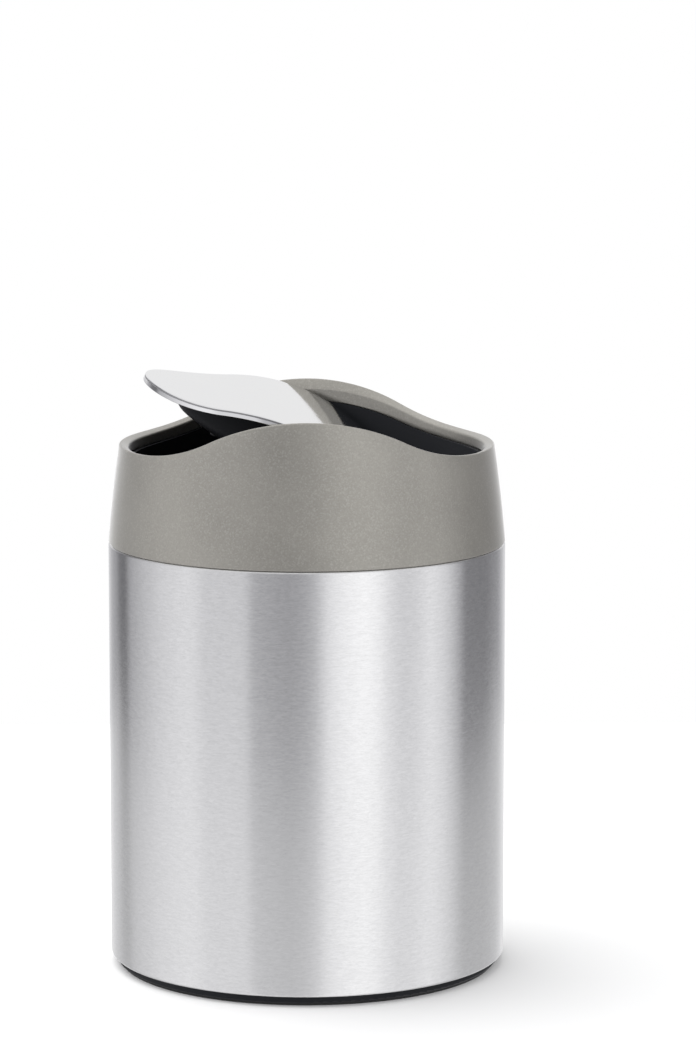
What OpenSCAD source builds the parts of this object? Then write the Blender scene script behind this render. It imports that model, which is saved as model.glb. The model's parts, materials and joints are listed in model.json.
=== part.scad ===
// Push top countertop bin: a brushed steel tube on a moulded base, and a lift-off lid
// with a wavy rim whose weighted flap swings on a cross rod.
// Z is up, the bin stands on z = 0, and the rod runs front to back along Y.

/* [Steel body] */
// Outside diameter of the steel tube
body_d = 120; // [112:0.5:130]
// Height of the steel tube
body_h = 126.8; // [70:0.1:220]
// Thickness of the steel sheet
sheet_t = 0.6; // [0.4:0.05:0.8]
// Rounding of the tube's top and bottom edges
edge_r = 1; // [0.9:0.05:1.3]
// Width of the top edge that is turned inwards
top_turn = 3.2; // [2.6:0.1:3.8]
// Width of the bottom edge that is turned inwards
bottom_turn = 1.4; // [1.2:0.1:1.6]
// Width of the weld bead inside the back of the tube
weld_w = 1.6; // [0.8:0.1:3]
// Height of that bead
weld_h = 0.25; // [0.15:0.05:0.4]

/* [Base] */
// Height of the black foot that shows below the steel
foot_h = 3; // [2.4:0.1:8]
// How far the foot stands in from the outside of the steel
foot_inset = 1.8; // [1.7:0.1:3]
// Width of the foot's ring
foot_w = 6.2; // [5:0.1:10]
// Rounding of the foot's lower edge
foot_edge_r = 0.7; // [0.4:0.05:0.8]
// Thickness of the bin's floor
floor_t = 1.8; // [1.2:0.1:3]
// Height of the wall that holds the base inside the tube
base_wall_h = 8; // [4:0.5:16]
// Thickness of that wall
base_wall_t = 1.6; // [1:0.1:2.5]
// Radial ribs under the floor
base_ribs = 8; // [4:1:16]
// Thickness of the ribs under the floor
base_rib_t = 1.4; // [0.8:0.1:2.4]
// How far the ribs stand back from the foot's lower face
rib_back = 1; // [0.6:0.1:1.6]
// Diameter of the hub where the ribs meet
hub_d = 28; // [20:1:40]
// Wall of the hub
hub_t = 1.6; // [1:0.1:2.4]
// How far the non-slip ring stands below the foot
pad_proud = 0.8; // [0.4:0.1:1.2]
// Depth of the groove that holds the non-slip ring
pad_sunk = 0.8; // [0.4:0.1:1]
// Width of the non-slip ring
pad_w = 3.8; // [2.4:0.1:4]

/* [Rim ring] */
// Height of the ring that stiffens the top of the tube
rim_ring_h = 10; // [8:0.5:16]
// Thickness of its walls
rim_ring_t = 1.3; // [0.8:0.1:1.6]

/* [Collar] */
// Height of the rim above the steel at the front and back
crest_h = 43.8; // [41:0.1:46]
// Height of the rim above the steel at the two sides
dip_h = 30; // [27:0.1:33]
// Radius of the rim's two crests
crest_r = 58; // [50:0.5:66]
// Radius of the rim's two dips
dip_r = 47; // [38:0.5:56]
// Radius of the collar's bulging side
side_r = 480; // [400:5:800]
// Inward lean of the side at the steel, in degrees
side_lean = 4.85; // [3.5:0.05:5.5]
// Wall of the collar
collar_t = 2; // [1.6:0.1:2.3]
// Width of the rim's top
rim_w = 3; // [2.8:0.1:3.3]
// Rounding of the collar's bottom edge
collar_edge_r = 0.6; // [0.3:0.1:1]
// Depth of the inner lip below the crests
lip_crest = 7.8; // [6.5:0.1:9]
// Depth of the inner lip below the dips
lip_dip = 4.1; // [3:0.1:5]
// Radius of the lip's lower edge at the crests
lip_r = 76; // [66:1:90]
// Ribs inside the collar's wall
collar_ribs = 16; // [8:4:24]
// Thickness of those ribs
collar_rib_t = 1.1; // [0.8:0.1:1.6]

/* [Throat ring] */
// How far the throat stands in from the rim's dips
throat_in = 1; // [0.8:0.05:1.2]
// Wall of the throat ring
throat_t = 1.3; // [1:0.05:1.5]
// Height of the ring's web above the steel
web_h = 3; // [2.2:0.1:5]
// Thickness of the web
web_t = 1.8; // [1.2:0.1:2.6]
// How far the plug reaches down into the tube
plug_h = 9; // [7:0.5:14]
// Wall of the plug
plug_t = 1.5; // [1.2:0.1:1.8]
// Width of the four gaps in the plug
plug_gap_w = 7; // [5:0.5:12]
// Width of the grip ring round the plug
grip_w = 2.2; // [1.4:0.1:3]
// Height of the grip ring's middle above the plug's lower end
grip_up = 3.2; // [2.4:0.1:5]

/* [Lid screws] */
// Diameter of a screw boss in the collar
boss_d = 4.2; // [3.8:0.1:4.4]
// Height of a screw boss
boss_h = 11; // [8:0.5:16]
// Thread diameter of the screws
screw_d = 2; // [1.6:0.1:2.2]
// Thread length of the screws
screw_l = 7; // [5:0.5:8]
// Head diameter of the screws
head_d = 3.2; // [2.8:0.1:3.4]
// Head height of the screws
head_h = 1.3; // [0.8:0.1:1.6]
// Width of the cross recess in the heads
recess_w = 0.5; // [0.3:0.05:0.7]

/* [Flap] */
// Gap between the flap's edge and the throat
flap_gap = 2.2; // [1.8:0.1:4]
// Height of the flap's middle above the steel, when closed
flap_top_h = 39.1; // [37:0.1:41]
// How far the flap's sides curve down below its middle
flap_drop = 10.4; // [8:0.1:12]
// Radius of the flap's middle
flap_r = 68; // [60:1:80]
// Radius of the upward curve towards its sides
flap_side_r = 77; // [68:1:90]
// Thickness of the polished steel skin
skin_t = 0.6; // [0.4:0.05:0.7]
// Depth of the skin's edge, which is turned down
skin_edge = 1.9; // [1.6:0.05:2]
// Thickness of the tray under the skin
tray_t = 1.1; // [0.8:0.05:1.2]
// Width of the tray's rim inside the turned edge
tray_rim_w = 1.4; // [1:0.1:2.4]
// Diameter of the tray's screw bosses
tray_boss_d = 5.2; // [4.6:0.1:6]
// Opening angle at which the flap stands, in degrees
open_angle = 25.5; // [-40:0.5:40]
// Largest opening angle to each side, in degrees
swing = 45; // [30:1:55]

/* [Pivot] */
// Depth of the rod's axis below the flap's middle
pivot_drop = 3.4; // [3.35:0.05:4]
// Diameter of the pivot rod
rod_d = 2.5; // [2:0.1:2.6]
// Running clearance round the rod
rod_gap = 0.05; // [0.03:0.01:0.1]
// Wall of the two bushes
bush_t = 0.75; // [0.5:0.05:0.9]
// Diameter of a bush's flange
bush_flange_d = 5.2; // [4.8:0.1:5.8]
// Thickness of a bush's flange
bush_flange_t = 0.8; // [0.5:0.1:1]
// Diameter of the throat's two bearing bosses
bearing_d = 6; // [5.6:0.1:6.2]
// Width of the tray's ears that hold the rod
ear_w = 4.8; // [4:0.1:6]
// Length of the ears along the rod
ear_l = 4.5; // [3:0.1:6]
// Wall of the ears and of the tray's two bridges below the rod
ear_t = 1.2; // [0.9:0.1:1.6]
// Distance of the stop pegs from the rod's axis
stop_reach = 9; // [8:0.5:12]
// Diameter of the stop pegs
stop_d = 3; // [2.4:0.1:4]
// Gap between the stop pegs and the flap's cover
stop_gap = 6; // [4:0.5:8]

/* [Flap cover] */
// Diameter of the cover that closes the flap's underside
cover_d = 77; // [70:0.5:80]
// Depth of the cover's bottom below the rod's axis
cover_drop = 16.3; // [15.8:0.1:20]
// Radius of the cover's domed bottom
cover_r = 144; // [120:1:240]
// Wall of the cover
cover_t = 1.5; // [1.2:0.1:1.8]
// Rounding of the cover's lower edge
cover_edge_r = 2.5; // [2:0.1:3.5]
// Screws along the flap, distance from the middle
cover_screw_x = 24; // [20:0.5:27]
// Screws across the flap, distance from the middle
cover_screw_y = 19; // [14:0.5:22]
// Thread length of those screws
cover_screw_l = 5.5; // [4.5:0.5:6]
// Thickness of the pads that those screws pull on
cover_pad_t = 1.3; // [1:0.1:1.6]
// Diameter of those pads
cover_pad_d = 6.2; // [5.6:0.1:7]
// Diameter of the counterweight bar
weight_d = 8; // [6:0.1:8.2]
// Length of the counterweight bar
weight_l = 48; // [30:1:52]
// Depth of the bar's axis below the rod's axis
weight_drop = 8.4; // [7.8:0.1:8.8]
// Distance of the bar's two cradles from the middle
cradle_y = 14; // [8:0.5:18]
// Thickness of the cradles
cradle_t = 1.6; // [1:0.1:2.4]
// Width of the cradles beside the bar
cradle_w = 2; // [1.2:0.1:3]

/* [Clearances] */
// Gap between parts that are pressed or laid together
seat_gap = 0.05; // [0.02:0.01:0.1]
// Gap between parts that slide past each other
slide_gap = 0.3; // [0.3:0.05:0.6]
// Gap between the plug and the tube's turned edge
plug_gap = 0.6; // [0.5:0.05:0.8]
// Shadow gap between the collar's lip and the throat
lip_gap = 0.15; // [0.1:0.05:0.3]
// How much narrower than its thread a screw's hole is
screw_bite = 0.2; // [0.1:0.05:0.3]
// Play of a screw in the part that it holds
screw_play = 0.3; // [0.2:0.05:0.4]
// Free depth of a hole beyond the screw's end
tip_gap = 0.8; // [0.4:0.1:1]

/* [Hidden] */

body_r = body_d / 2;
inner_r = body_r - sheet_t - seat_gap;       // what is pressed into the tube
seam_z = foot_h + body_h;                    // top of the steel, where the collar sits
floor_z = foot_h + sheet_t;                  // underside of the bin's floor
floor_top = floor_z + floor_t;
corner = edge_r - sheet_t + 2 * seat_gap;    // clears the bend inside the turned edges
foot_r = body_r - foot_inset;
foot_z = pad_proud;
pad_r = foot_r - (foot_w - pad_w) / 2;       // outside of the non-slip ring
turned_r = body_r - top_turn;                // mouth of the steel tube

side_x = body_r - side_r * cos(side_lean);   // centre of the collar's side arc
side_z = -side_r * sin(side_lean);
throat_r = side_at(dip_h) - rim_w - throat_in;
throat_out = throat_r + throat_t;
plug_r = turned_r - plug_gap;
boss_x = throat_out + boss_d / 2 + seat_gap; // circle of the lid screws
web_r = boss_x + head_d / 2;

pivot_h = flap_top_h - pivot_drop;           // above the steel
rod_r = rod_d / 2;
bush_r = rod_r + rod_gap + bush_t;
bearing_y = throat_r - bush_flange_t;        // inner face of the bearing bosses
rod_half = side_at(pivot_h) - collar_t - 2 * slide_gap;  // half length of the rod and its bearings
flap_plan_r = throat_r - flap_gap;
tray_r = flap_plan_r - skin_t - seat_gap;
tray_drop = skin_t + tray_t;                 // underside of the tray below the flap's top
cover_plan_r = cover_d / 2;
ear_y = tray_r - tray_rim_w;                 // outer face of the rod's ears
ear_low = rod_r + ear_t;                     // underside of the ears, below the rod's axis
weight_r = weight_d / 2;
cover_head_z = -(cover_drop - dome_rise(sqrt(pow(cover_screw_x, 2) + pow(cover_screw_y, 2)))) + head_h;
cover_pad_z = cover_head_z + cover_pad_t;    // top of the pads round the cover's screws

// The flap meets a stop peg when its turned edge lies on the peg's side
under_peg = pivot_drop - skin_edge - (flap_r - sqrt(pow(flap_r, 2) - pow(stop_reach, 2)));
stop_angle = swing + asin((stop_d / 2 + slide_gap - under_peg) / stop_reach);
stop_in = cover_plan_r + stop_gap;           // inner end of the pegs, along Y

far = body_r + 10;                           // reaches past every wall
hair = 0.002;                                // by which arcs that run into each other overlap
fine = 180;

// Outside radius of the collar at height h above the steel
function side_at(h) = side_x + sqrt(pow(side_r, 2) - pow(h - side_z, 2));
// Rise of the cover's domed bottom at distance r from its middle
function dome_rise(r) = cover_r - sqrt(pow(cover_r, 2) - pow(r, 2));
// Distance from the middle of a wave to the lowest point of its dips
function dip_x(drop, top_r, low_r) = sqrt(pow(top_r + low_r, 2) - pow(top_r + low_r - drop, 2));

// Everything below a wave line: a crest arc that runs into a dip arc on each side
module below_wave(top, low, top_r, low_r, bottom) {
    x = dip_x(top - low, top_r, low_r);
    join_z = top - top_r + (top_r + low_r - top + low) * top_r / (top_r + low_r);
    difference() {
        union() {
            translate([-far, bottom]) square([2 * far, low - bottom]);
            translate([-x, bottom]) square([2 * x, join_z - bottom]);
            intersection() {
                translate([0, top - top_r]) circle(r = top_r, $fn = 2 * fine);
                translate([-x, join_z - 1]) square([2 * x, top - join_z + 2]);
            }
        }
        // a hair larger, so that it crosses the crest and the level sides instead of grazing them
        for (s = [-1, 1]) translate([s * x, low + low_r]) circle(r = low_r + hair, $fn = 2 * fine);
    }
}

// A wave drawn in X and Z, carried through the whole bin along Y
module along_y() {
    rotate([90, 0, 0]) linear_extrude(height = 2 * far, center = true) children();
}

// Everything below the rim, and below the lower edge of the lip inside it
module below_rim() {
    along_y() below_wave(crest_h, dip_h, crest_r, dip_r, -plug_h - 5);
}
module below_lip(gap) {
    top = crest_h - lip_crest;
    low = dip_h - lip_dip;
    half = dip_x(crest_h - dip_h, crest_r, dip_r);
    both = (pow(half, 2) + pow(top - low, 2)) / (2 * (top - low));
    along_y() below_wave(top - gap, low - gap, lip_r, both - lip_r, -plug_h - 5);
}

// Half section of the collar's bulging side, set in by a wall
module side_section(inset, low) {
    intersection() {
        translate([side_x, side_z]) circle(r = side_r - inset, $fn = 8 * fine);
        translate([0, low]) square([body_r, crest_h + 5]);
    }
}

// Half section with both outer corners rounded
module rounded_half(r, low, high, round_r) {
    translate([0, low]) square([r - round_r, high - low]);
    translate([0, low + round_r]) square([r, high - low - 2 * round_r]);
    for (z = [low + round_r, high - round_r])
        translate([r - round_r, z]) circle(r = round_r, $fn = fine / 3);
}

// A ring of rectangular section
module ring(outer, inner, low, high) {
    translate([0, 0, low]) difference() {
        cylinder(r = outer, h = high - low, $fn = fine);
        translate([0, 0, -1]) cylinder(r = inner, h = high - low + 2, $fn = fine);
    }
}

module body_shell() {
    color("silver") {
        rotate_extrude($fn = fine) difference() {
            rounded_half(body_r, foot_h, seam_z, edge_r);
            rounded_half(body_r - sheet_t, foot_h + sheet_t, seam_z - sheet_t, edge_r - sheet_t);
            translate([0, seam_z - 2 * sheet_t]) square([turned_r, 3 * sheet_t]);
            translate([0, foot_h - sheet_t]) square([body_r - bottom_turn, 3 * sheet_t]);
        }
        // weld bead down the inside of the back, between the two pressed-in rings
        intersection() {
            translate([-weld_w / 2, 0, 0]) cube([weld_w, body_r, seam_z]);
            ring(body_r - sheet_t / 2, body_r - sheet_t - weld_h,
                 floor_top + base_wall_h + 1, seam_z - sheet_t - rim_ring_h - 1);
        }
    }
}

// Channel-shaped ring under the turned edge, which guides the lid's plug
module rim_ring() {
    top = seam_z - sheet_t;
    low = top - rim_ring_h;
    color("#1c1c1e") rotate_extrude($fn = fine) difference() {
        polygon([[turned_r, low], [inner_r, low], [inner_r, top - corner],
                 [inner_r - corner, top], [turned_r, top]]);
        translate([turned_r + rim_ring_t, low + rim_ring_t])
            square([top_turn, rim_ring_h - 2 * rim_ring_t]);
    }
}

module base_pan() {
    wall_top = floor_top + base_wall_h;
    color("#161617") difference() {
        union() {
            rotate_extrude($fn = fine) {
                // floor and the wall pressed into the tube
                polygon([[0, floor_z], [inner_r - corner, floor_z], [inner_r, floor_z + corner],
                         [inner_r, wall_top], [inner_r - base_wall_t, wall_top],
                         [inner_r - base_wall_t, floor_top], [0, floor_top]]);
                // foot ring with its rounded lower edge
                intersection() {
                    rounded_half(foot_r, foot_z, floor_top, foot_edge_r);
                    translate([foot_r - foot_w, 0]) square([foot_w, floor_z + floor_t / 2]);
                }
            }
            // hub and ribs under the floor
            ring(hub_d / 2, hub_d / 2 - hub_t, foot_z + rib_back, floor_z + floor_t / 2);
            for (i = [0 : base_ribs - 1]) rotate([0, 0, i * 360 / base_ribs])
                translate([hub_d / 2 - hub_t / 2, -base_rib_t / 2, foot_z + rib_back])
                    cube([foot_r - foot_w - hub_d / 2 + hub_t, base_rib_t,
                          floor_z - foot_z - rib_back + floor_t / 2]);
        }
        // groove of the non-slip ring
        ring(pad_r + seat_gap, pad_r - pad_w - seat_gap, foot_z - 1, foot_z + pad_sunk + seat_gap);
    }
}

module non_slip_ring() {
    color("#202022") ring(pad_r, pad_r - pad_w, 0, pad_proud + pad_sunk);
}

// Four places on the circle of the lid screws
module at_screws() {
    for (i = [0 : 3]) rotate([0, 0, 45 + 90 * i]) translate([boss_x, 0, 0]) children();
}

module collar() {
    color("#a39e96") translate([0, 0, seam_z]) difference() {
        union() {
            // shell: the bulging side below the rim, hollow below the lip
            difference() {
                intersection() {
                    rotate_extrude($fn = fine) intersection() {
                        side_section(0, 0);
                        rounded_half(body_r, 0, crest_h + 5, collar_edge_r);
                    }
                    below_rim();
                }
                intersection() {
                    rotate_extrude($fn = fine) side_section(collar_t, -1);
                    below_lip(0);
                }
            }
            // screw bosses and ribs, trimmed to the inside of the shell
            intersection() {
                rotate_extrude($fn = fine) side_section(collar_t / 2, 0);
                union() {
                    at_screws() translate([0, 0, web_h + web_t + seat_gap])
                        cylinder(d = boss_d, h = boss_h, $fn = 48);
                    for (i = [0 : collar_ribs - 1]) rotate([0, 0, (i + 0.5) * 360 / collar_ribs])
                        translate([throat_out + slide_gap, -collar_rib_t / 2, web_h + web_t + slide_gap])
                            cube([body_r, collar_rib_t, boss_h]);
                }
            }
        }
        // inside of the rim and lip, parallel to the side
        rotate_extrude($fn = fine) side_section(rim_w, dip_h - lip_dip - 1);
        at_screws() translate([0, 0, web_h])
            cylinder(d = screw_d - screw_bite, h = screw_l + tip_gap, $fn = 32);
        // room for the throat's bearing bosses
        translate([0, 0, pivot_h]) rotate([90, 0, 0])
            cylinder(d = bearing_d + 2 * lip_gap, h = 2 * rod_half + 2 * slide_gap, center = true, $fn = 64);
    }
}

// Black ring inside the collar: flap bearings above, plug for the tube below
module throat_ring() {
    color("#1a1a1c") translate([0, 0, seam_z]) difference() {
        union() {
            intersection() {
                ring(throat_out, throat_r, web_h, crest_h);
                below_lip(lip_gap);
                rotate_extrude($fn = fine) side_section(collar_t + lip_gap, 0);
            }
            ring(web_r, throat_r, web_h, web_h + web_t);
            difference() {
                ring(plug_r, plug_r - plug_t, -plug_h, web_h);
                for (i = [0 : 3]) rotate([0, 0, 45 + 90 * i])
                    translate([0, -plug_gap_w / 2, -plug_h - 1])
                        cube([body_r, plug_gap_w, plug_h + web_h + 1]);
            }
            // bearing bosses and stop pegs grow inwards from the front and back wall
            intersection() {
                rotate_extrude($fn = fine) side_section(collar_t + lip_gap, 0);
                for (s = [-1, 1]) to_side(s) {
                    translate([0, bearing_y, pivot_h]) rotate([-90, 0, 0])
                        cylinder(d = bearing_d, h = rod_half - bearing_y, $fn = 64);
                    for (t = [-1, 1]) translate([t * stop_reach * cos(stop_angle), stop_in,
                                                 pivot_h - stop_reach * sin(stop_angle)])
                        rotate([-90, 0, 0])
                            cylinder(d = stop_d, h = throat_r + throat_t / 2 - stop_in, $fn = 48);
                }
            }
        }
        translate([0, 0, pivot_h]) rotate([90, 0, 0])
            cylinder(r = bush_r + seat_gap, h = 2 * far, center = true, $fn = 64);
        at_screws() translate([0, 0, web_h - 1]) cylinder(d = screw_d + screw_play, h = web_t + 2, $fn = 32);
        translate([0, 0, -plug_h + grip_up - grip_w / 2 - seat_gap])
            ring(plug_r + 1, plug_r - plug_t / 2, 0, grip_w + 2 * seat_gap);
    }
}

// Leaves a part of the back as it is for 1, and mirrors it to the front for -1
module to_side(s) {
    if (s < 0) mirror([0, 1, 0]) children();
    else children();
}

// A pan-head screw that points up, with its head below z = 0
module screw(length) {
    translate([0, 0, -head_h]) difference() {
        cylinder(d = head_d, h = head_h, $fn = 48);
        for (a = [0, 90]) rotate([0, 0, a])
            cube([head_d * 0.6, recess_w, head_h], center = true);
    }
    cylinder(d = screw_d - screw_bite - seat_gap, h = length, $fn = 32);
}

module throat_screws() {
    color("#c9ccd0") translate([0, 0, seam_z + web_h]) at_screws() screw(screw_l);
}

// Soft ring in the plug's groove, which grips the rim ring
module grip_ring() {
    low = seam_z - plug_h + grip_up - grip_w / 2;
    inner = plug_r - plug_t / 2 + seat_gap;
    color("#2a2a2c") rotate_extrude($fn = fine) intersection() {
        rounded_half(turned_r - slide_gap, low, low + grip_w, grip_w / 4);
        translate([inner, low]) square([body_r, grip_w]);
    }
}

module bush() {
    color("#e4e2da") translate([0, 0, seam_z + pivot_h]) rotate([-90, 0, 0]) difference() {
        union() {
            translate([0, 0, bearing_y - bush_flange_t]) {
                cylinder(d = bush_flange_d, h = bush_flange_t, $fn = 64);
                cylinder(r = bush_r, h = rod_half - bearing_y + bush_flange_t, $fn = 64);
            }
        }
        cylinder(r = rod_r + rod_gap, h = far, $fn = 64);
    }
}
module front_bush() {
    to_side(-1) bush();
}
module rear_bush() {
    to_side(1) bush();
}

// Places a part of the flap, drawn closed round the rod's axis, at its opening angle
module on_pivot() {
    translate([0, 0, seam_z + pivot_h]) rotate([0, open_angle, 0]) children();
}

// The flap's arch between two depths below its polished face, within a plan radius
module arch(from, to, plan_r) {
    low = pivot_drop - flap_drop;
    intersection() {
        along_y() difference() {
            below_wave(pivot_drop - from, low - from, flap_r - from, flap_side_r + from, -far);
            below_wave(pivot_drop - to, low - to, flap_r - to, flap_side_r + to, -far - 1);
        }
        translate([0, 0, -far / 2]) cylinder(r = plan_r, h = far, $fn = fine);
    }
}

module flap_skin() {
    color("#e9eaec") on_pivot() {
        arch(0, skin_t, flap_plan_r);
        // edge turned down all round
        difference() {
            arch(skin_t / 2, skin_edge, flap_plan_r);
            translate([0, 0, -far]) cylinder(r = flap_plan_r - skin_t, h = 2 * far, $fn = fine);
        }
    }
}

module flap_tray() {
    color("#19191b") on_pivot() difference() {
        union() {
            arch(skin_t + seat_gap, tray_drop, tray_r);
            // rim that fills the skin's turned edge
            difference() {
                arch(tray_drop - tray_t / 2, skin_edge, tray_r);
                translate([0, 0, -far]) cylinder(r = tray_r - tray_rim_w, h = 2 * far, $fn = fine);
            }
            // everything that hangs from the tray, trimmed to its underside
            difference() {
                union() {
                    for (s = [-1, 1]) translate([-ear_w / 2, s < 0 ? -ear_y : ear_y - ear_l, -ear_low])
                        cube([ear_w, ear_l, ear_low + pivot_drop]);
                    for (s = [-1, 1]) translate([-cover_screw_x, s * cover_screw_y - cradle_t / 2, -ear_low])
                        cube([2 * cover_screw_x, cradle_t, ear_low + pivot_drop]);
                    for (x = [-1, 1], y = [-1, 1])
                        translate([x * cover_screw_x, y * cover_screw_y, cover_pad_z + seat_gap])
                            cylinder(d = tray_boss_d, h = pivot_drop - cover_pad_z, $fn = 48);
                }
                arch(-far / 3, tray_drop - tray_t / 2, far);
            }
        }
        rotate([90, 0, 0]) cylinder(r = rod_r + seat_gap, h = 2 * far, center = true, $fn = 64);
        for (x = [-1, 1], y = [-1, 1]) translate([x * cover_screw_x, y * cover_screw_y, cover_head_z])
            cylinder(d = screw_d - screw_bite, h = cover_screw_l + tip_gap, $fn = 32);
    }
}

// Half section of the cover, set in by a wall: straight side, rounded edge, domed bottom
module cover_half(inset) {
    r = cover_plan_r - inset;
    round_r = cover_edge_r - inset / 2;
    dome = cover_r - inset;
    mid_x = r - round_r;                     // middle of the rounded edge
    mid_z = cover_r - cover_drop - sqrt(pow(dome - round_r, 2) - pow(mid_x, 2));
    lean = asin(mid_x / (dome - round_r));
    difference() {
        intersection() {
            translate([0, cover_r - cover_drop]) circle(r = dome, $fn = 8 * fine);
            translate([0, -far]) square([r, far + pivot_drop]);
        }
        translate([mid_x, mid_z]) difference() {
            polygon([[0, 0], 3 * round_r * [sin(lean), -cos(lean)], 3 * round_r * [1, -1], [3 * round_r, 0]]);
            circle(r = round_r + hair, $fn = fine / 2);
        }
    }
}

module flap_cover() {
    color("#19191b") on_pivot() difference() {
        union() {
            difference() {
                rotate_extrude($fn = fine) cover_half(0);
                rotate_extrude($fn = fine) cover_half(cover_t);
            }
            intersection() {
                rotate_extrude($fn = fine) cover_half(cover_t / 2);
                union() {
                    // pads under the tray's screw bosses
                    for (x = [-1, 1], y = [-1, 1]) translate([x * cover_screw_x, y * cover_screw_y, -cover_drop])
                        cylinder(d = cover_pad_d, h = cover_drop + cover_pad_z, $fn = 48);
                    // cradles of the counterweight
                    for (s = [-1, 1])
                        translate([-weight_r - cradle_w, s * cradle_y - cradle_t / 2, -cover_drop])
                            cube([weight_d + 2 * cradle_w, cradle_t, cover_drop - weight_drop]);
                }
            }
        }
        // the tray's arch closes the top
        arch(-far / 3, tray_drop + seat_gap, far);
        rotate([90, 0, 0]) cylinder(r = rod_r + slide_gap / 2, h = 2 * far, center = true, $fn = 64);
        translate([-rod_r - slide_gap / 2, -far, 0]) cube([rod_d + slide_gap, 2 * far, far / 3]);
        translate([0, 0, -weight_drop]) rotate([90, 0, 0])
            cylinder(r = weight_r + seat_gap, h = 2 * cradle_y + 2 * cradle_t, center = true, $fn = 64);
        for (x = [-1, 1], y = [-1, 1]) translate([x * cover_screw_x, y * cover_screw_y, 0]) {
            translate([0, 0, -cover_drop - 1])
                cylinder(d = screw_d + screw_play, h = cover_drop + cover_pad_z + 2, $fn = 32);
            translate([0, 0, -cover_drop - 1])
                cylinder(d = head_d + 2 * screw_play, h = cover_drop + cover_head_z + 1, $fn = 48);
        }
    }
}

module counterweight() {
    color("#8f9296") on_pivot() translate([0, 0, -weight_drop]) rotate([90, 0, 0])
        cylinder(r = weight_r, h = weight_l, center = true, $fn = 64);
}

module cover_screws() {
    color("#c9ccd0") on_pivot() for (x = [-1, 1], y = [-1, 1])
        translate([x * cover_screw_x, y * cover_screw_y, cover_head_z]) screw(cover_screw_l);
}

module pivot_rod() {
    color("#c9ccd0") on_pivot() rotate([90, 0, 0])
        cylinder(r = rod_r, h = 2 * rod_half, center = true, $fn = 64);
}

body_shell();
rim_ring();
base_pan();
non_slip_ring();
collar();
throat_ring();
throat_screws();
grip_ring();
front_bush();
rear_bush();
flap_skin();
flap_tray();
flap_cover();
counterweight();
cover_screws();
pivot_rod();
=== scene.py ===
import json
import math
import bmesh
import bpy
from mathutils import Matrix, Vector


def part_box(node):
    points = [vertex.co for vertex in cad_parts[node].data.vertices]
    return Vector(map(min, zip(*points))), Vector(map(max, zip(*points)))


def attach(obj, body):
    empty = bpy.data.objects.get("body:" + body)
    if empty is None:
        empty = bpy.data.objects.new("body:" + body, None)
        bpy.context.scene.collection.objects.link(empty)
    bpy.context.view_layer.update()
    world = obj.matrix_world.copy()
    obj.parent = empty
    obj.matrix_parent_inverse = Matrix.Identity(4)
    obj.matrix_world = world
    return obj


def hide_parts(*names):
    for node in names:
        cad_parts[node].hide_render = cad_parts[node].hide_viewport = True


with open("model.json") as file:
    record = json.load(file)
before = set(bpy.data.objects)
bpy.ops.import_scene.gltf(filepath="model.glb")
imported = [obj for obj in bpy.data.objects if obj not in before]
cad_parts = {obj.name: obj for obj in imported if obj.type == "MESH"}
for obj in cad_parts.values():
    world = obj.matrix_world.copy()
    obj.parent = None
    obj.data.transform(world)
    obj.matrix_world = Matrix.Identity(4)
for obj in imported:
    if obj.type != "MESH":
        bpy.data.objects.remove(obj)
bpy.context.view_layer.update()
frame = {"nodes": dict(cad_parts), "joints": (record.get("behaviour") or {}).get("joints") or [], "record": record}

nodes = frame["nodes"]
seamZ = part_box("collar")[0].z                    # where the lid sits on the steel tube
swing = next(joint for joint in frame["joints"] if joint["name"] == "flap_swing")
pivot = Vector(swing["pos_m"])                   # middle of the flap's rod
print("frame loaded, seam at %.4f m" % seamZ)


# Gives an input its value, or joins it to the socket that feeds it
def feed(tree, value, socket):
    if isinstance(value, bpy.types.NodeSocket):
        tree.links.new(value, socket)
    else:
        socket.default_value = value


def addNode(tree, kind, place, settings=None, inputs=None):
    node = tree.nodes.new(kind)
    node.location = place
    for name, value in (settings or {}).items():
        setattr(node, name, value)
    for name, value in (inputs or {}).items():
        feed(tree, value, node.inputs[name])
    return node


def addMath(tree, operation, place, values, clamp=False):
    settings = {"operation": operation, "use_clamp": clamp}
    return addNode(tree, "ShaderNodeMath", place, settings, dict(enumerate(values))).outputs[0]


def scaleVector(tree, place, vector, factor):
    node = addNode(tree, "ShaderNodeVectorMath", place, {"operation": "SCALE"},
                   {0: vector, "Scale": factor})
    return node.outputs[0]


mixSockets = {"VECTOR": (4, 5, 1), "RGBA": (6, 7, 2)}      # numbers of A, B and the result


def addMix(tree, kind, place, share, first, second):
    a, b, result = mixSockets[kind]
    node = addNode(tree, "ShaderNodeMix", place, {"data_type": kind}, {0: share, a: first, b: second})
    return node.outputs[result]


def mixShaders(tree, place, share, first, second):
    node = addNode(tree, "ShaderNodeMixShader", place, inputs={0: share, 1: first, 2: second})
    return node.outputs[0]


# 0 up to low and 1 from high on, with a soft rise between them
def softStep(tree, place, value, low, high):
    node = addNode(tree, "ShaderNodeMapRange", place, {"interpolation_type": "SMOOTHSTEP"},
                   {"Value": value, "From Min": low, "From Max": high})
    return node.outputs["Result"]


def addNoise(tree, place, vector, scale, detail, settings=None, inputs=None):
    values = {"Vector": vector, "Scale": scale, "Detail": detail}
    values.update(inputs or {})
    return addNode(tree, "ShaderNodeTexNoise", place, settings, values).outputs["Fac"]


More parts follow.
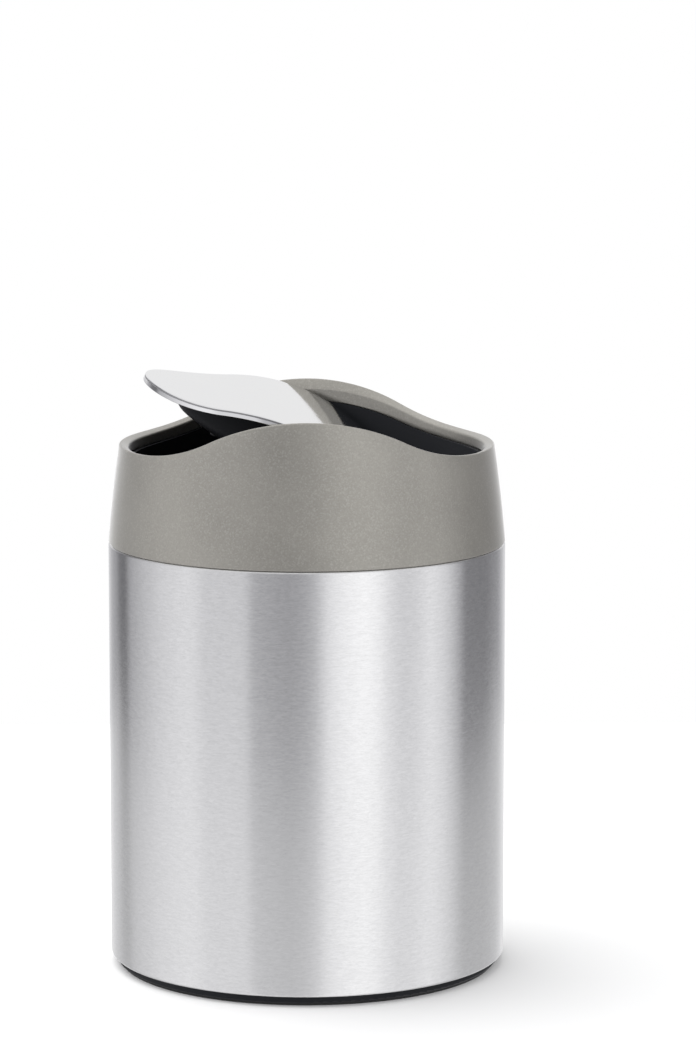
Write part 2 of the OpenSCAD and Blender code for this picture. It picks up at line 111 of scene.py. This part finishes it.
# A group's inputs come with their first values; a colour has four numbers
def newGroup(name, inputs):
    group = bpy.data.node_groups.new(name, "ShaderNodeTree")
    sockets = group.interface
    for label, value in inputs.items():
        kind = "NodeSocketColor" if isinstance(value, tuple) else "NodeSocketFloat"
        sockets.new_socket(label, in_out="INPUT", socket_type=kind).default_value = value
    for label in ("Color", "Roughness", "Height"):
        kind = "NodeSocketColor" if label == "Color" else "NodeSocketFloat"
        sockets.new_socket(label, in_out="OUTPUT", socket_type=kind)
    given = addNode(group, "NodeGroupInput", (-900, 0)).outputs
    out = addNode(group, "NodeGroupOutput", (700, 0)).inputs
    return group, given, out


# Lets a pattern that varies round zero change the colour and the roughness
def spreadPattern(group, pattern, given, out):
    shade = addMath(group, "MULTIPLY_ADD", (400, 200), [pattern, given["Color Change"], 1.0])
    feed(group, scaleVector(group, (550, 200), given["Color"], shade), out["Color"])
    rough = addMath(group, "MULTIPLY_ADD", (400, 0),
                    [pattern, given["Roughness Change"], given["Roughness"]], clamp=True)
    feed(group, rough, out["Roughness"])


brushGrain = {
    "layers": [(1.0, 0.0), (0.31, 1.7)],         # share of the streak's size, place in the noise
    "detail": 3.0,
    "roughness": 0.6,
}


# Grain of metal that was brushed or turned round its own axis: streaks that run level round Z
def buildBrushGroup():
    group, given, out = newGroup("brushedGrain", {
        "Color": (0.7, 0.7, 0.7, 1), "Roughness": 0.3, "Streak Length": 0.012,
        "Streak Height": 0.0003, "Color Change": 0.1, "Roughness Change": 0.1})
    coords = addNode(group, "ShaderNodeTexCoord", (-900, 300))
    place = addNode(group, "ShaderNodeSeparateXYZ", (-700, 300),
                    inputs={0: coords.outputs["Object"]}).outputs
    noises = []
    for number, (share, lift) in enumerate(brushGrain["layers"]):
        row = 100 - 300 * number
        along = addMath(group, "MULTIPLY", (-700, row), [given["Streak Length"], share])
        across = addMath(group, "MULTIPLY", (-700, row - 100), [given["Streak Height"], share])
        scaled = {axis: addMath(group, "DIVIDE", (-500, row), [place[axis], size])
                  for axis, size in (("X", along), ("Y", along), ("Z", across))}
        joined = addNode(group, "ShaderNodeCombineXYZ", (-300, row), inputs=scaled)
        noises.append(addNoise(group, (-100, row), joined.outputs[0], 1.0, brushGrain["detail"],
                               {"noise_dimensions": "4D"},
                               {"Roughness": brushGrain["roughness"], "W": lift}))
    both = addMath(group, "ADD", (100, 100), noises)
    centred = addMath(group, "SUBTRACT", (250, 100), [both, 1.0])
    feed(group, centred, out["Height"])
    spreadPattern(group, centred, given, out)
    return group


mouldGrain = {
    "fineDetail": 2.0,
    "broadShare": 0.02, "broadDetail": 3.0,      # patches fifty times as wide as the grain
}


# Fine texture of moulded plastic or rubber, with an even change of tone over larger patches
def buildMouldGroup():
    group, given, out = newGroup("mouldTexture", {
        "Color": (0.02, 0.02, 0.02, 1), "Roughness": 0.45, "Grain Size": 0.0003,
        "Color Change": 0.1, "Roughness Change": 0.1})
    coords = addNode(group, "ShaderNodeTexCoord", (-900, 300))
    perMetre = addMath(group, "DIVIDE", (-900, 150), [1.0, given["Grain Size"]])
    scaled = scaleVector(group, (-700, 300), coords.outputs["Object"], perMetre)
    fine = addNoise(group, (-450, 300), scaled, 1.0, mouldGrain["fineDetail"])
    broad = addNoise(group, (-450, 50), scaled, mouldGrain["broadShare"], mouldGrain["broadDetail"])
    both = addMath(group, "ADD", (-200, 200), [fine, broad])
    centred = addMath(group, "SUBTRACT", (-50, 200), [both, 1.0])
    feed(group, fine, out["Height"])
    spreadPattern(group, centred, given, out)
    return group


brushGroup = buildBrushGroup()
mouldGroup = buildMouldGroup()


# Metallic flecks: a share of small cells takes a lighter colour
def addFlecks(tree, color, fleck):
    coords = addNode(tree, "ShaderNodeTexCoord", (-900, -300))
    cells = addNode(tree, "ShaderNodeTexVoronoi", (-700, -300), inputs={
        "Vector": coords.outputs["Object"], "Scale": 1 / fleck["size"]})
    split = addNode(tree, "ShaderNodeSeparateColor", (-500, -300), inputs={
        0: cells.outputs["Color"]})
    some = addNode(tree, "ShaderNodeMapRange", (-300, -300), inputs={
        "Value": split.outputs[0], "From Min": 1 - fleck["share"], "From Max": 1.0,
        "To Min": 0.0, "To Max": fleck["strength"]})
    return addMix(tree, "RGBA", (-50, -150), some.outputs["Result"], color, fleck["color"])


# A material whose colour, roughness and bump come from one of the groups
def makeFinish(name, group, finish):
    material = bpy.data.materials.new(name)
    material.use_nodes = True
    tree = material.node_tree
    tree.nodes.clear()
    grain = addNode(tree, "ShaderNodeGroup", (-400, 0), {"node_tree": group}, {
        "Color": finish["color"], "Roughness": finish["roughness"],
        "Color Change": finish["colorChange"], "Roughness Change": finish["roughnessChange"],
        **finish["grain"]})
    color = grain.outputs["Color"]
    if "fleck" in finish:
        color = addFlecks(tree, color, finish["fleck"])
    bump = addNode(tree, "ShaderNodeBump", (100, -300), inputs={
        "Strength": 1.0, "Distance": finish["depth"], "Height": grain.outputs["Height"]})
    shader = addNode(tree, "ShaderNodeBsdfPrincipled", (300, 0), inputs={
        "Base Color": color, "Roughness": grain.outputs["Roughness"],
        "Normal": bump.outputs["Normal"], **finish["shader"]})
    addNode(tree, "ShaderNodeOutputMaterial", (600, 0), inputs={"Surface": shader.outputs["BSDF"]})
    return material


brushedSteel = {
    "color": (0.737, 0.737, 0.745, 1), "colorChange": 0.28,
    "roughness": 0.22, "roughnessChange": 0.10,
    "grain": {"Streak Length": 0.0026, "Streak Height": 0.00072}, "depth": 0.000003,
    "shader": {"Metallic": 1.0, "Anisotropic": 0.9, "Anisotropic Rotation": 0.25},
}
polishedSteel = {
    "color": (0.86, 0.86, 0.87, 1), "colorChange": 0.02,
    "roughness": 0.06, "roughnessChange": 0.03,
    "grain": {"Streak Length": 0.02, "Streak Height": 0.02}, "depth": 0.0000001,
    "shader": {"Metallic": 1.0},
}
brightSteel = {
    "color": (0.62, 0.62, 0.64, 1), "colorChange": 0.15,
    "roughness": 0.28, "roughnessChange": 0.2,
    "grain": {"Streak Length": 0.004, "Streak Height": 0.0002}, "depth": 0.000002,
    "shader": {"Metallic": 1.0},
}
collarPlastic = {
    "color": (0.352, 0.339, 0.308, 1), "colorChange": 0.32,
    "roughness": 0.37, "roughnessChange": 0.12,
    "grain": {"Grain Size": 0.00050}, "depth": 0.000006,
    "fleck": {"size": 0.00038, "share": 0.30, "strength": 0.8, "color": (0.43, 0.415, 0.385, 1)},
    "shader": {"Metallic": 0.55, "Sheen Weight": 1.0, "Sheen Roughness": 0.25},
}
blackPlastic = {
    "color": (0.019, 0.020, 0.023, 1), "colorChange": 0.2,
    "roughness": 0.5, "roughnessChange": 0.2,
    "grain": {"Grain Size": 0.0005}, "depth": 0.00001,
    "shader": {"Specular IOR Level": 0.10},
}
baseRubber = {
    "color": (0.02, 0.02, 0.021, 1), "colorChange": 0.2,
    "roughness": 0.75, "roughnessChange": 0.2,
    "grain": {"Grain Size": 0.0004}, "depth": 0.00002,
    "shader": {},
}
bushPlastic = {
    "color": (0.74, 0.73, 0.68, 1), "colorChange": 0.2,
    "roughness": 0.35, "roughnessChange": 0.2,
    "grain": {"Grain Size": 0.0004}, "depth": 0.000005,
    "shader": {},
}
blackenedScrew = {
    "color": (0.03, 0.03, 0.032, 1), "colorChange": 0.2,
    "roughness": 0.4, "roughnessChange": 0.2,
    "grain": {"Grain Size": 0.0004}, "depth": 0.000005,
    "shader": {"Metallic": 0.8},
}
# Painted shade: a dark grey for the strip in the flap's groove, standing in for the shadow and the dark reflection
# along the rolled edge
paintedFoldShade = {
    "color": (0.30, 0.30, 0.31, 1), "colorChange": 0.2,
    "roughness": 0.45, "roughnessChange": 0.2,
    "grain": {"Grain Size": 0.0004}, "depth": 0.000005,
    "shader": {"Metallic": 0.5},
}

screwMaterial = makeFinish("blackenedScrew", mouldGroup, blackenedScrew)
paintedShadeMaterial = makeFinish("paintedFoldShade", mouldGroup, paintedFoldShade)
materials = {
    "brushed_steel": makeFinish("brushedSteel", brushGroup, brushedSteel),
    "polished_steel": makeFinish("polishedSteel", brushGroup, polishedSteel),
    "bright_steel": makeFinish("brightSteel", brushGroup, brightSteel),
    "collar_plastic": makeFinish("collarPlastic", mouldGroup, collarPlastic),
    "black_plastic": makeFinish("blackPlastic", mouldGroup, blackPlastic),
    "base_rubber": makeFinish("baseRubber", mouldGroup, baseRubber),
    "bush_plastic": makeFinish("bushPlastic", mouldGroup, bushPlastic),
}
for row in frame["record"]["subparts"]:
    if row["node"] in nodes:
        nodes[row["node"]].data.materials.clear()
        nodes[row["node"]].data.materials.append(materials[row["material_slot"]])
nodes["cover_screws"].data.materials[0] = screwMaterial
print("materials ready")


# Spins a column of points once round Z; each vertex keeps its number on the outline in a layer
def spinTemplate(count, steps, closed):
    bm = bmesh.new()
    layer = bm.verts.layers.int.new("outline")
    verts = [bm.verts.new((1.0, 0.0, i / count)) for i in range(count)]
    for i, vert in enumerate(verts):
        vert[layer] = i
    edges = [bm.edges.new((verts[i], verts[i + 1])) for i in range(count - 1)]
    if closed:
        edges.append(bm.edges.new((verts[-1], verts[0])))
    bmesh.ops.spin(bm, geom=verts + edges, cent=(0, 0, 0), axis=(0, 0, 1), dvec=(0, 0, 0),
                   angle=2 * math.pi, steps=steps, use_merge=True, use_normal_flip=False,
                   use_duplicate=False)
    return bm, layer


# Moves each vertex of a spun template to the outline at its own angle
def placeSections(bm, layer, sectionAt):
    known = {}
    for vert in bm.verts:
        angle = math.atan2(vert.co.y, vert.co.x)
        key = round(angle, 6)
        if key not in known:
            known[key] = sectionAt(angle)
        r, z = known[key][vert[layer]]
        vert.co = (r * math.cos(angle), r * math.sin(angle), z)


# Rounds the corners of a closed outline of (r, z, rounding) points with arcs of a few steps
def roundOutline(points, steps):
    out = []
    count = len(points)
    for i, (r, z, rounding) in enumerate(points):
        here = Vector((r, z))
        if rounding <= 0:
            out.append((r, z))
            continue
        back = (Vector(points[i - 1][:2]) - here).normalized()
        on = (Vector(points[(i + 1) % count][:2]) - here).normalized()
        half = back.angle(on) / 2
        reach = rounding / math.tan(half)
        centre = here + (back + on).normalized() * rounding / math.sin(half)
        first = here + back * reach - centre
        last = here + on * reach - centre
        turn = first.angle_signed(last)
        for k in range(steps + 1):
            spoke = first.copy()
            spoke.rotate(Matrix.Rotation(-turn * k / steps, 2))
            out.append(tuple(centre + spoke))
    return out


meshFinish = {
    "mergeWithin": 0.000001,
    "sharpFrom": math.radians(40),               # edges that turn by this or more stay crisp
}


def addObject(name, data):
    newObject = bpy.data.objects.new(name, data)
    bpy.context.scene.collection.objects.link(newObject)
    return newObject


def finishPiece(bm, name, body, slot, replaced):
    bmesh.ops.remove_doubles(bm, verts=bm.verts, dist=meshFinish["mergeWithin"])
    bmesh.ops.recalc_face_normals(bm, faces=bm.faces)
    for face in bm.faces:
        face.smooth = True
    for edge in bm.edges:
        edge.smooth = edge.calc_face_angle(0) < meshFinish["sharpFrom"]
    mesh = bpy.data.meshes.new(name)
    bm.to_mesh(mesh)
    bm.free()
    mesh.materials.append(materials[slot])
    piece = addObject(name, mesh)
    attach(piece, body)
    if replaced:
        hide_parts(*replaced)
    return piece


# Distance from a crest to the dip beside it, where their arcs run into each other
def dipDistance(fall, sumOfRadii):
    return math.sqrt(sumOfRadii ** 2 - (sumOfRadii - fall) ** 2)


# A wave in X: a crest arc that runs into a dip arc, then level
def waveHeight(x, top, low, topRadius, lowRadius):
    x = abs(x)
    both = topRadius + lowRadius
    dipX = dipDistance(top - low, both)
    joinX = dipX * topRadius / both
    if x <= joinX:
        return top - topRadius + math.sqrt(topRadius ** 2 - x ** 2)
    if x <= dipX:
        return low + lowRadius - math.sqrt(lowRadius ** 2 - (x - dipX) ** 2)
    return low


# Heights are above the seam
collar = {
    "crest": 0.0438, "dip": 0.0300, "crestRadius": 0.058, "dipRadius": 0.047,
    "outside": 0.060, "sideRadius": 0.480, "sideLean": 4.85,
    "wall": 0.002, "rimWidth": 0.0030,
    "faceCrest": 0.0043, "faceDip": 0.0011, "faceRadius": 0.080,      # the rim slopes down inwards
    "lipCrest": 0.0078, "lipDip": 0.0041, "lipRadius": 0.076,
    "rimRound": 0.0005, "faceRound": 0.0007, "bottomRound": 0.0004, "lipRound": 0.0003,
    "steps": 360, "roundSteps": 5, "wallSteps": 14, "meetTries": 6,
}


# Radius of the side, an arc that leans in more and more with the height
def sideRadiusAt(height):
    lean = math.radians(collar["sideLean"])
    centreX = collar["outside"] - collar["sideRadius"] * math.cos(lean)
    centreZ = -collar["sideRadius"] * math.sin(lean)
    return centreX + math.sqrt(collar["sideRadius"] ** 2 - (height - centreZ) ** 2)


def rimHeight(x):
    return waveHeight(x, collar["crest"], collar["dip"], collar["crestRadius"], collar["dipRadius"])


# A wave inside the rim: it lies a depth below the crests and another below the dips
def innerHeight(x, atCrest, atDip, radius):
    top = collar["crest"] - atCrest
    low = collar["dip"] - atDip
    reach = dipDistance(collar["crest"] - collar["dip"], collar["crestRadius"] + collar["dipRadius"])
    sumOfRadii = (reach ** 2 + (top - low) ** 2) / (2 * (top - low))
    return waveHeight(x, top, low, radius, sumOfRadii - radius)


def faceHeight(x):
    return innerHeight(x, collar["faceCrest"], collar["faceDip"], collar["faceRadius"])


def lipHeight(x):
    return innerHeight(x, collar["lipCrest"], collar["lipDip"], collar["lipRadius"])


# Where a wave meets the wall that stands a given width inside the side
def meetSide(angle, inset, waveAt):
    height = collar["dip"]
    for _ in range(collar["meetTries"]):
        height = waveAt((sideRadiusAt(height) - inset) * math.cos(angle))
    return sideRadiusAt(height) - inset, height


def collarSection(angle):
    outer, rimZ = meetSide(angle, 0, rimHeight)
    face, faceZ = meetSide(angle, collar["rimWidth"], faceHeight)
    lip, lipZ = meetSide(angle, collar["rimWidth"], lipHeight)
    inner, innerZ = meetSide(angle, collar["wall"], lipHeight)
    corners = [
        (collar["outside"], 0.0, collar["bottomRound"]),
        (outer, rimZ, collar["rimRound"]),
        (face, faceZ, collar["faceRound"]),
        (lip, lipZ, collar["lipRound"]),
        (inner, innerZ, 0),
        (collar["outside"] - collar["wall"], 0.0, 0),
    ]
    rounded = roundOutline(corners, collar["roundSteps"])
    # the first two corners are joined by the side's arc
    count = collar["roundSteps"] + 1
    start, stop = Vector(rounded[count - 1]), Vector(rounded[count])
    side = []
    for k in range(1, collar["wallSteps"]):
        z = start.y + (stop.y - start.y) * k / collar["wallSteps"]
        side.append((sideRadiusAt(z), z))
    outline = rounded[:count] + side + rounded[count:]
    return [(r, z + seamZ) for r, z in outline]


def makeCollar():
    bm, layer = spinTemplate(len(collarSection(0.0)), collar["steps"], True)
    placeSections(bm, layer, collarSection)
    finishPiece(bm, "collarShell", "lid", "collar_plastic", ["collar"])


makeCollar()
print("collar made")


# Steel tube with its turned edges
tube = {
    "outside": 0.060, "sheet": 0.0006, "edgeRound": 0.001,
    "topTurn": 0.0032, "bottomTurn": 0.0014, "steps": 360, "roundSteps": 6,
}


def makeTube():
    low, high = (corner.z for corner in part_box("body_shell"))
    outside, sheet, edge = tube["outside"], tube["sheet"], tube["edgeRound"]
    topIn, bottomIn = outside - tube["topTurn"], outside - tube["bottomTurn"]
    corners = [
        (bottomIn, low, 0),
        (outside, low, edge),
        (outside, high, edge),
        (topIn, high, 0),
        (topIn, high - sheet, 0),
        (outside - sheet, high - sheet, edge - sheet),
        (outside - sheet, low + sheet, edge - sheet),
        (bottomIn, low + sheet, 0),
    ]
    outline = roundOutline(corners, tube["roundSteps"])
    bm, layer = spinTemplate(len(outline), tube["steps"], True)
    placeSections(bm, layer, lambda angle: outline)
    finishPiece(bm, "steelTube", "bin_body", "brushed_steel", ["body_shell"])


makeTube()
print("tube made")


# Polished skin of the flap, folded down over the tray all round
skin = {
    "radius": 0.0503, "drop": 0.0104, "above": 0.0034,       # above: crest over the rod's middle
    "middleRadius": 0.068, "sideRadius": 0.077,
    "sheet": 0.0006, "edge": 0.0020, "fold": 0.0003, "foot": 0.0003,
    "groove": (0.00036, 0.00072), "grooveDepth": 0.0002,     # depths below the top face
    # on the next line, after the groove's slope: how far the strip of painted shade reaches inside and outside the
    # groove
    "grooveSlope": 0.00004, "shadeStripIn": 0.00002, "shadeStripOut": 0.00008,
    "openAngle": 25.5, "steps": 360, "rings": 24, "foldSteps": 5,
}


def skinTop(x):
    top = skin["above"]
    return waveHeight(x, top, top - skin["drop"], skin["middleRadius"], skin["sideRadius"])


# Puts a spun outline of (r, height over the face) on the flap's wave, round the rod's middle
def placeOnFlap(outline, closed):
    bm, layer = spinTemplate(len(outline), skin["steps"], closed)
    placeSections(bm, layer, lambda angle: [
        (r, skinTop(r * math.cos(angle)) + height) for r, height in outline])
    return bm


def turnOpen(bm):
    turn = Matrix.Rotation(math.radians(skin["openAngle"]), 4, "Y")
    bmesh.ops.transform(bm, matrix=Matrix.Translation(pivot) @ turn, verts=bm.verts)


def makeSkin():
    radius, fold, foot = skin["radius"], skin["fold"], skin["foot"]
    sheet, edge, rings = skin["sheet"], skin["edge"], skin["rings"]
    upper, lower = skin["groove"]
    deep = radius - skin["grooveDepth"]
    inside = radius - sheet
    turns = [math.pi / 2 * k / skin["foldSteps"] for k in range(skin["foldSteps"] + 1)]
    outline = [((radius - fold) * (k + 0.5) / rings, 0.0) for k in range(rings)]
    outline += [(radius - fold + fold * math.sin(turn), fold * (math.cos(turn) - 1)) for turn in turns]
    outline += [(deep, -upper), (deep, -lower), (radius, -lower - skin["grooveSlope"])]
    outline += [(radius - foot + foot * math.cos(turn), foot - edge - foot * math.sin(turn))
                for turn in turns]
    outline += [(inside, -edge), (inside, -sheet)]
    outline += [(inside * (k + 0.5) / rings, -sheet) for k in reversed(range(rings))]
    bm = placeOnFlap(outline, False)
    # close the small hole in the middle of both faces
    holes = [edge for edge in bm.edges if edge.is_boundary]
    bmesh.ops.holes_fill(bm, edges=holes, sides=0)
    turnOpen(bm)
    finishPiece(bm, "flapSkin", "flap", "polished_steel", ["flap_skin"])


# Painted shade: a thin dark grey strip in the groove under the fold, standing in for the shadow and the dark
# reflection along the rolled edge
def makePaintedFoldShade():
    upper, lower = skin["groove"]
    deep = skin["radius"] - skin["grooveDepth"]
    near, far = deep - skin["shadeStripIn"], deep + skin["shadeStripOut"]
    bm = placeOnFlap([(near, -upper), (far, -upper), (far, -lower), (near, -lower)], True)
    turnOpen(bm)
    shadeStrip = finishPiece(bm, "paintedFoldShadeStrip", "flap", "black_plastic", [])
    # the strip takes the dark grey of painted shade instead of its slot's finish
    shadeStrip.data.materials[0] = paintedShadeMaterial


makeSkin()
makePaintedFoldShade()
print("flap skin made")


cameraView = {
    "place": (0.0, -1.30045, 0.3358), "tilt": 8.808, "yaw": 0.548,
    "focalPixels": 4348.06, "longSidePixels": 1050, "sensor": 36.0, "clip": (0.05, 50),
}


def makeCamera():
    data = bpy.data.cameras.new("photoCamera")
    data.sensor_width = cameraView["sensor"]
    data.lens = cameraView["focalPixels"] / cameraView["longSidePixels"] * cameraView["sensor"]
    data.clip_start, data.clip_end = cameraView["clip"]
    camera = addObject("photoCamera", data)
    camera.location = cameraView["place"]
    camera.rotation_euler = (math.radians(90 - cameraView["tilt"]), 0,
                             -math.radians(cameraView["yaw"]))
    bpy.context.scene.camera = camera


studio = {
    # azimuth from the camera's side towards +X in degrees, and brightness
    "horizon": [
        (-180, 0.85), (-166, 0.75), (-155, 0.50), (-144, 0.38), (-138, 0.20), (-130, 0.18),
        (-124, 0.46), (-94, 0.81), (-75, 0.93), (-68, 0.91), (-61, 0.77), (-36, 0.76),
        (-31, 0.50), (-10, 0.40), (-1, 0.47), (5, 0.60), (12, 0.97), (20, 1.13), (33, 1.27),
        (41, 1.19), (48, 0.95), (56, 0.80), (64, 0.83), (76, 1.00), (86, 0.87), (96, 0.58),
        (104, 0.26), (126, 0.24), (145, 0.36), (163, 0.75), (180, 0.85),
    ],
    "darkTint": (-0.010, -0.016, 0.035),           # change of colour where the horizon is darkest
    "overhead": 0.86,
    "overheadFrom": 0.45, "overheadTo": 0.75,      # sine of the elevation
    "backFrom": 0.82, "backTo": 0.96,              # how far a direction points away from the camera
    "backLow": 0.00, "backHigh": 0.06,             # above this sine of the elevation it is even
    "floorSize": 0.36, "floorColor": (0.80, 0.80, 0.80, 1),
    "floorGlow": 0.14,                             # added where the camera sees the floor
    "floorShine": 1.08, "floorShare": 0.42,        # in reflections: brightness, how much it hides
    "keyPlace": (-0.66, 0.38, 1.3), "keyAim": (0, 0, 0.09), "keySize": 2.0, "keyPower": 26.0,
}


def makeWorld():
    world = bpy.data.worlds.new("studioWorld")
    bpy.context.scene.world = world
    world.use_nodes = True
    tree = world.node_tree
    tree.nodes.clear()
    coords = addNode(tree, "ShaderNodeTexCoord", (-1300, 0))
    way = addNode(tree, "ShaderNodeSeparateXYZ", (-1100, 0),
                  inputs={0: coords.outputs["Generated"]}).outputs
    toCamera = addMath(tree, "MULTIPLY", (-900, 100), [way["Y"], -1.0])
    azimuth = addMath(tree, "ARCTAN2", (-700, 100), [way["X"], toCamera])
    share = addNode(tree, "ShaderNodeMapRange", (-500, 100), inputs={
        "Value": azimuth, "From Min": -math.pi, "From Max": math.pi})
    ramp = addNode(tree, "ShaderNodeValToRGB", (-300, 100), inputs={0: share.outputs["Result"]})
    elements = ramp.color_ramp.elements
    elements.remove(elements[1])
    brightest = max(brightness for angle, brightness in studio["horizon"])
    for number, (angle, brightness) in enumerate(studio["horizon"]):
        at = (angle + 180) / 360
        element = elements.new(at) if number else elements[0]
        element.position = at
        level = brightness / brightest
        element.color = [level * (1 + (1 - level) * tint) for tint in studio["darkTint"]] + [1]
    band = scaleVector(tree, (0, 100), ramp.outputs["Color"], brightest)
    # above, and behind the object, the room is even
    up = softStep(tree, (-300, -200), way["Z"], studio["overheadFrom"], studio["overheadTo"])
    back = softStep(tree, (-500, -450), way["Y"], studio["backFrom"], studio["backTo"])
    aboveTable = softStep(tree, (-500, -700), way["Z"], studio["backLow"], studio["backHigh"])
    backdrop = addMath(tree, "MULTIPLY", (-300, -500), [back, aboveTable])
    even = addMath(tree, "MAXIMUM", (-100, -300), [up, backdrop])
    level = addMix(tree, "VECTOR", (200, 0), even, band, [studio["overhead"]] * 3)
    lit = addNode(tree, "ShaderNodeBackground", (400, 0), inputs={"Color": level})
    plain = addNode(tree, "ShaderNodeBackground", (400, -150), inputs={
        "Color": (1, 1, 1, 1), "Strength": 1.0})
    rays = addNode(tree, "ShaderNodeLightPath", (400, 300)).outputs
    seen = mixShaders(tree, (650, 0), rays["Is Camera Ray"], lit.outputs[0], plain.outputs[0])
    addNode(tree, "ShaderNodeOutputWorld", (850, 0), inputs={"Surface": seen})


def makeFloor():
    bm = bmesh.new()
    bmesh.ops.create_grid(bm, x_segments=1, y_segments=1, size=studio["floorSize"])
    mesh = bpy.data.meshes.new("floor")
    bm.to_mesh(mesh)
    bm.free()
    addObject("floor", mesh)
    material = bpy.data.materials.new("paleFloor")
    material.use_nodes = True
    tree = material.node_tree
    tree.nodes.clear()
    rays = addNode(tree, "ShaderNodeLightPath", (-200, 200)).outputs
    diffuse = addNode(tree, "ShaderNodeBsdfDiffuse", (200, 0), inputs={
        "Color": studio["floorColor"]})
    seen = addMath(tree, "MULTIPLY", (0, -100), [rays["Is Camera Ray"], studio["floorGlow"]])
    glow = addNode(tree, "ShaderNodeEmission", (200, -150), inputs={"Strength": seen})
    lit = addNode(tree, "ShaderNodeAddShader", (400, -50), inputs={
        0: diffuse.outputs[0], 1: glow.outputs[0]})
    # reflections see a pale table, and the studio past its edge
    clear = addNode(tree, "ShaderNodeBsdfTransparent", (200, -300))
    shine = addNode(tree, "ShaderNodeEmission", (200, -400), inputs={
        "Strength": studio["floorShine"]})
    table = mixShaders(tree, (400, -300), studio["floorShare"], clear.outputs[0], shine.outputs[0])
    surface = mixShaders(tree, (600, -50), rays["Is Glossy Ray"], lit.outputs[0], table)
    addNode(tree, "ShaderNodeOutputMaterial", (800, 0), inputs={"Surface": surface})
    mesh.materials.append(material)


def makeKeyLamp():
    data = bpy.data.lights.new("keyLamp", "AREA")
    data.size = studio["keySize"]
    data.energy = studio["keyPower"]
    lamp = addObject("keyLamp", data)
    lamp.location = studio["keyPlace"]
    toAim = Vector(studio["keyAim"]) - lamp.location
    lamp.rotation_euler = toAim.to_track_quat("-Z", "Y").to_euler()
    lamp.visible_glossy = False                    # the steel mirrors the studio, not the lamp


makeCamera()
makeWorld()
makeFloor()
makeKeyLamp()
bpy.context.scene.view_settings.view_transform = "Standard"
print("studio made")
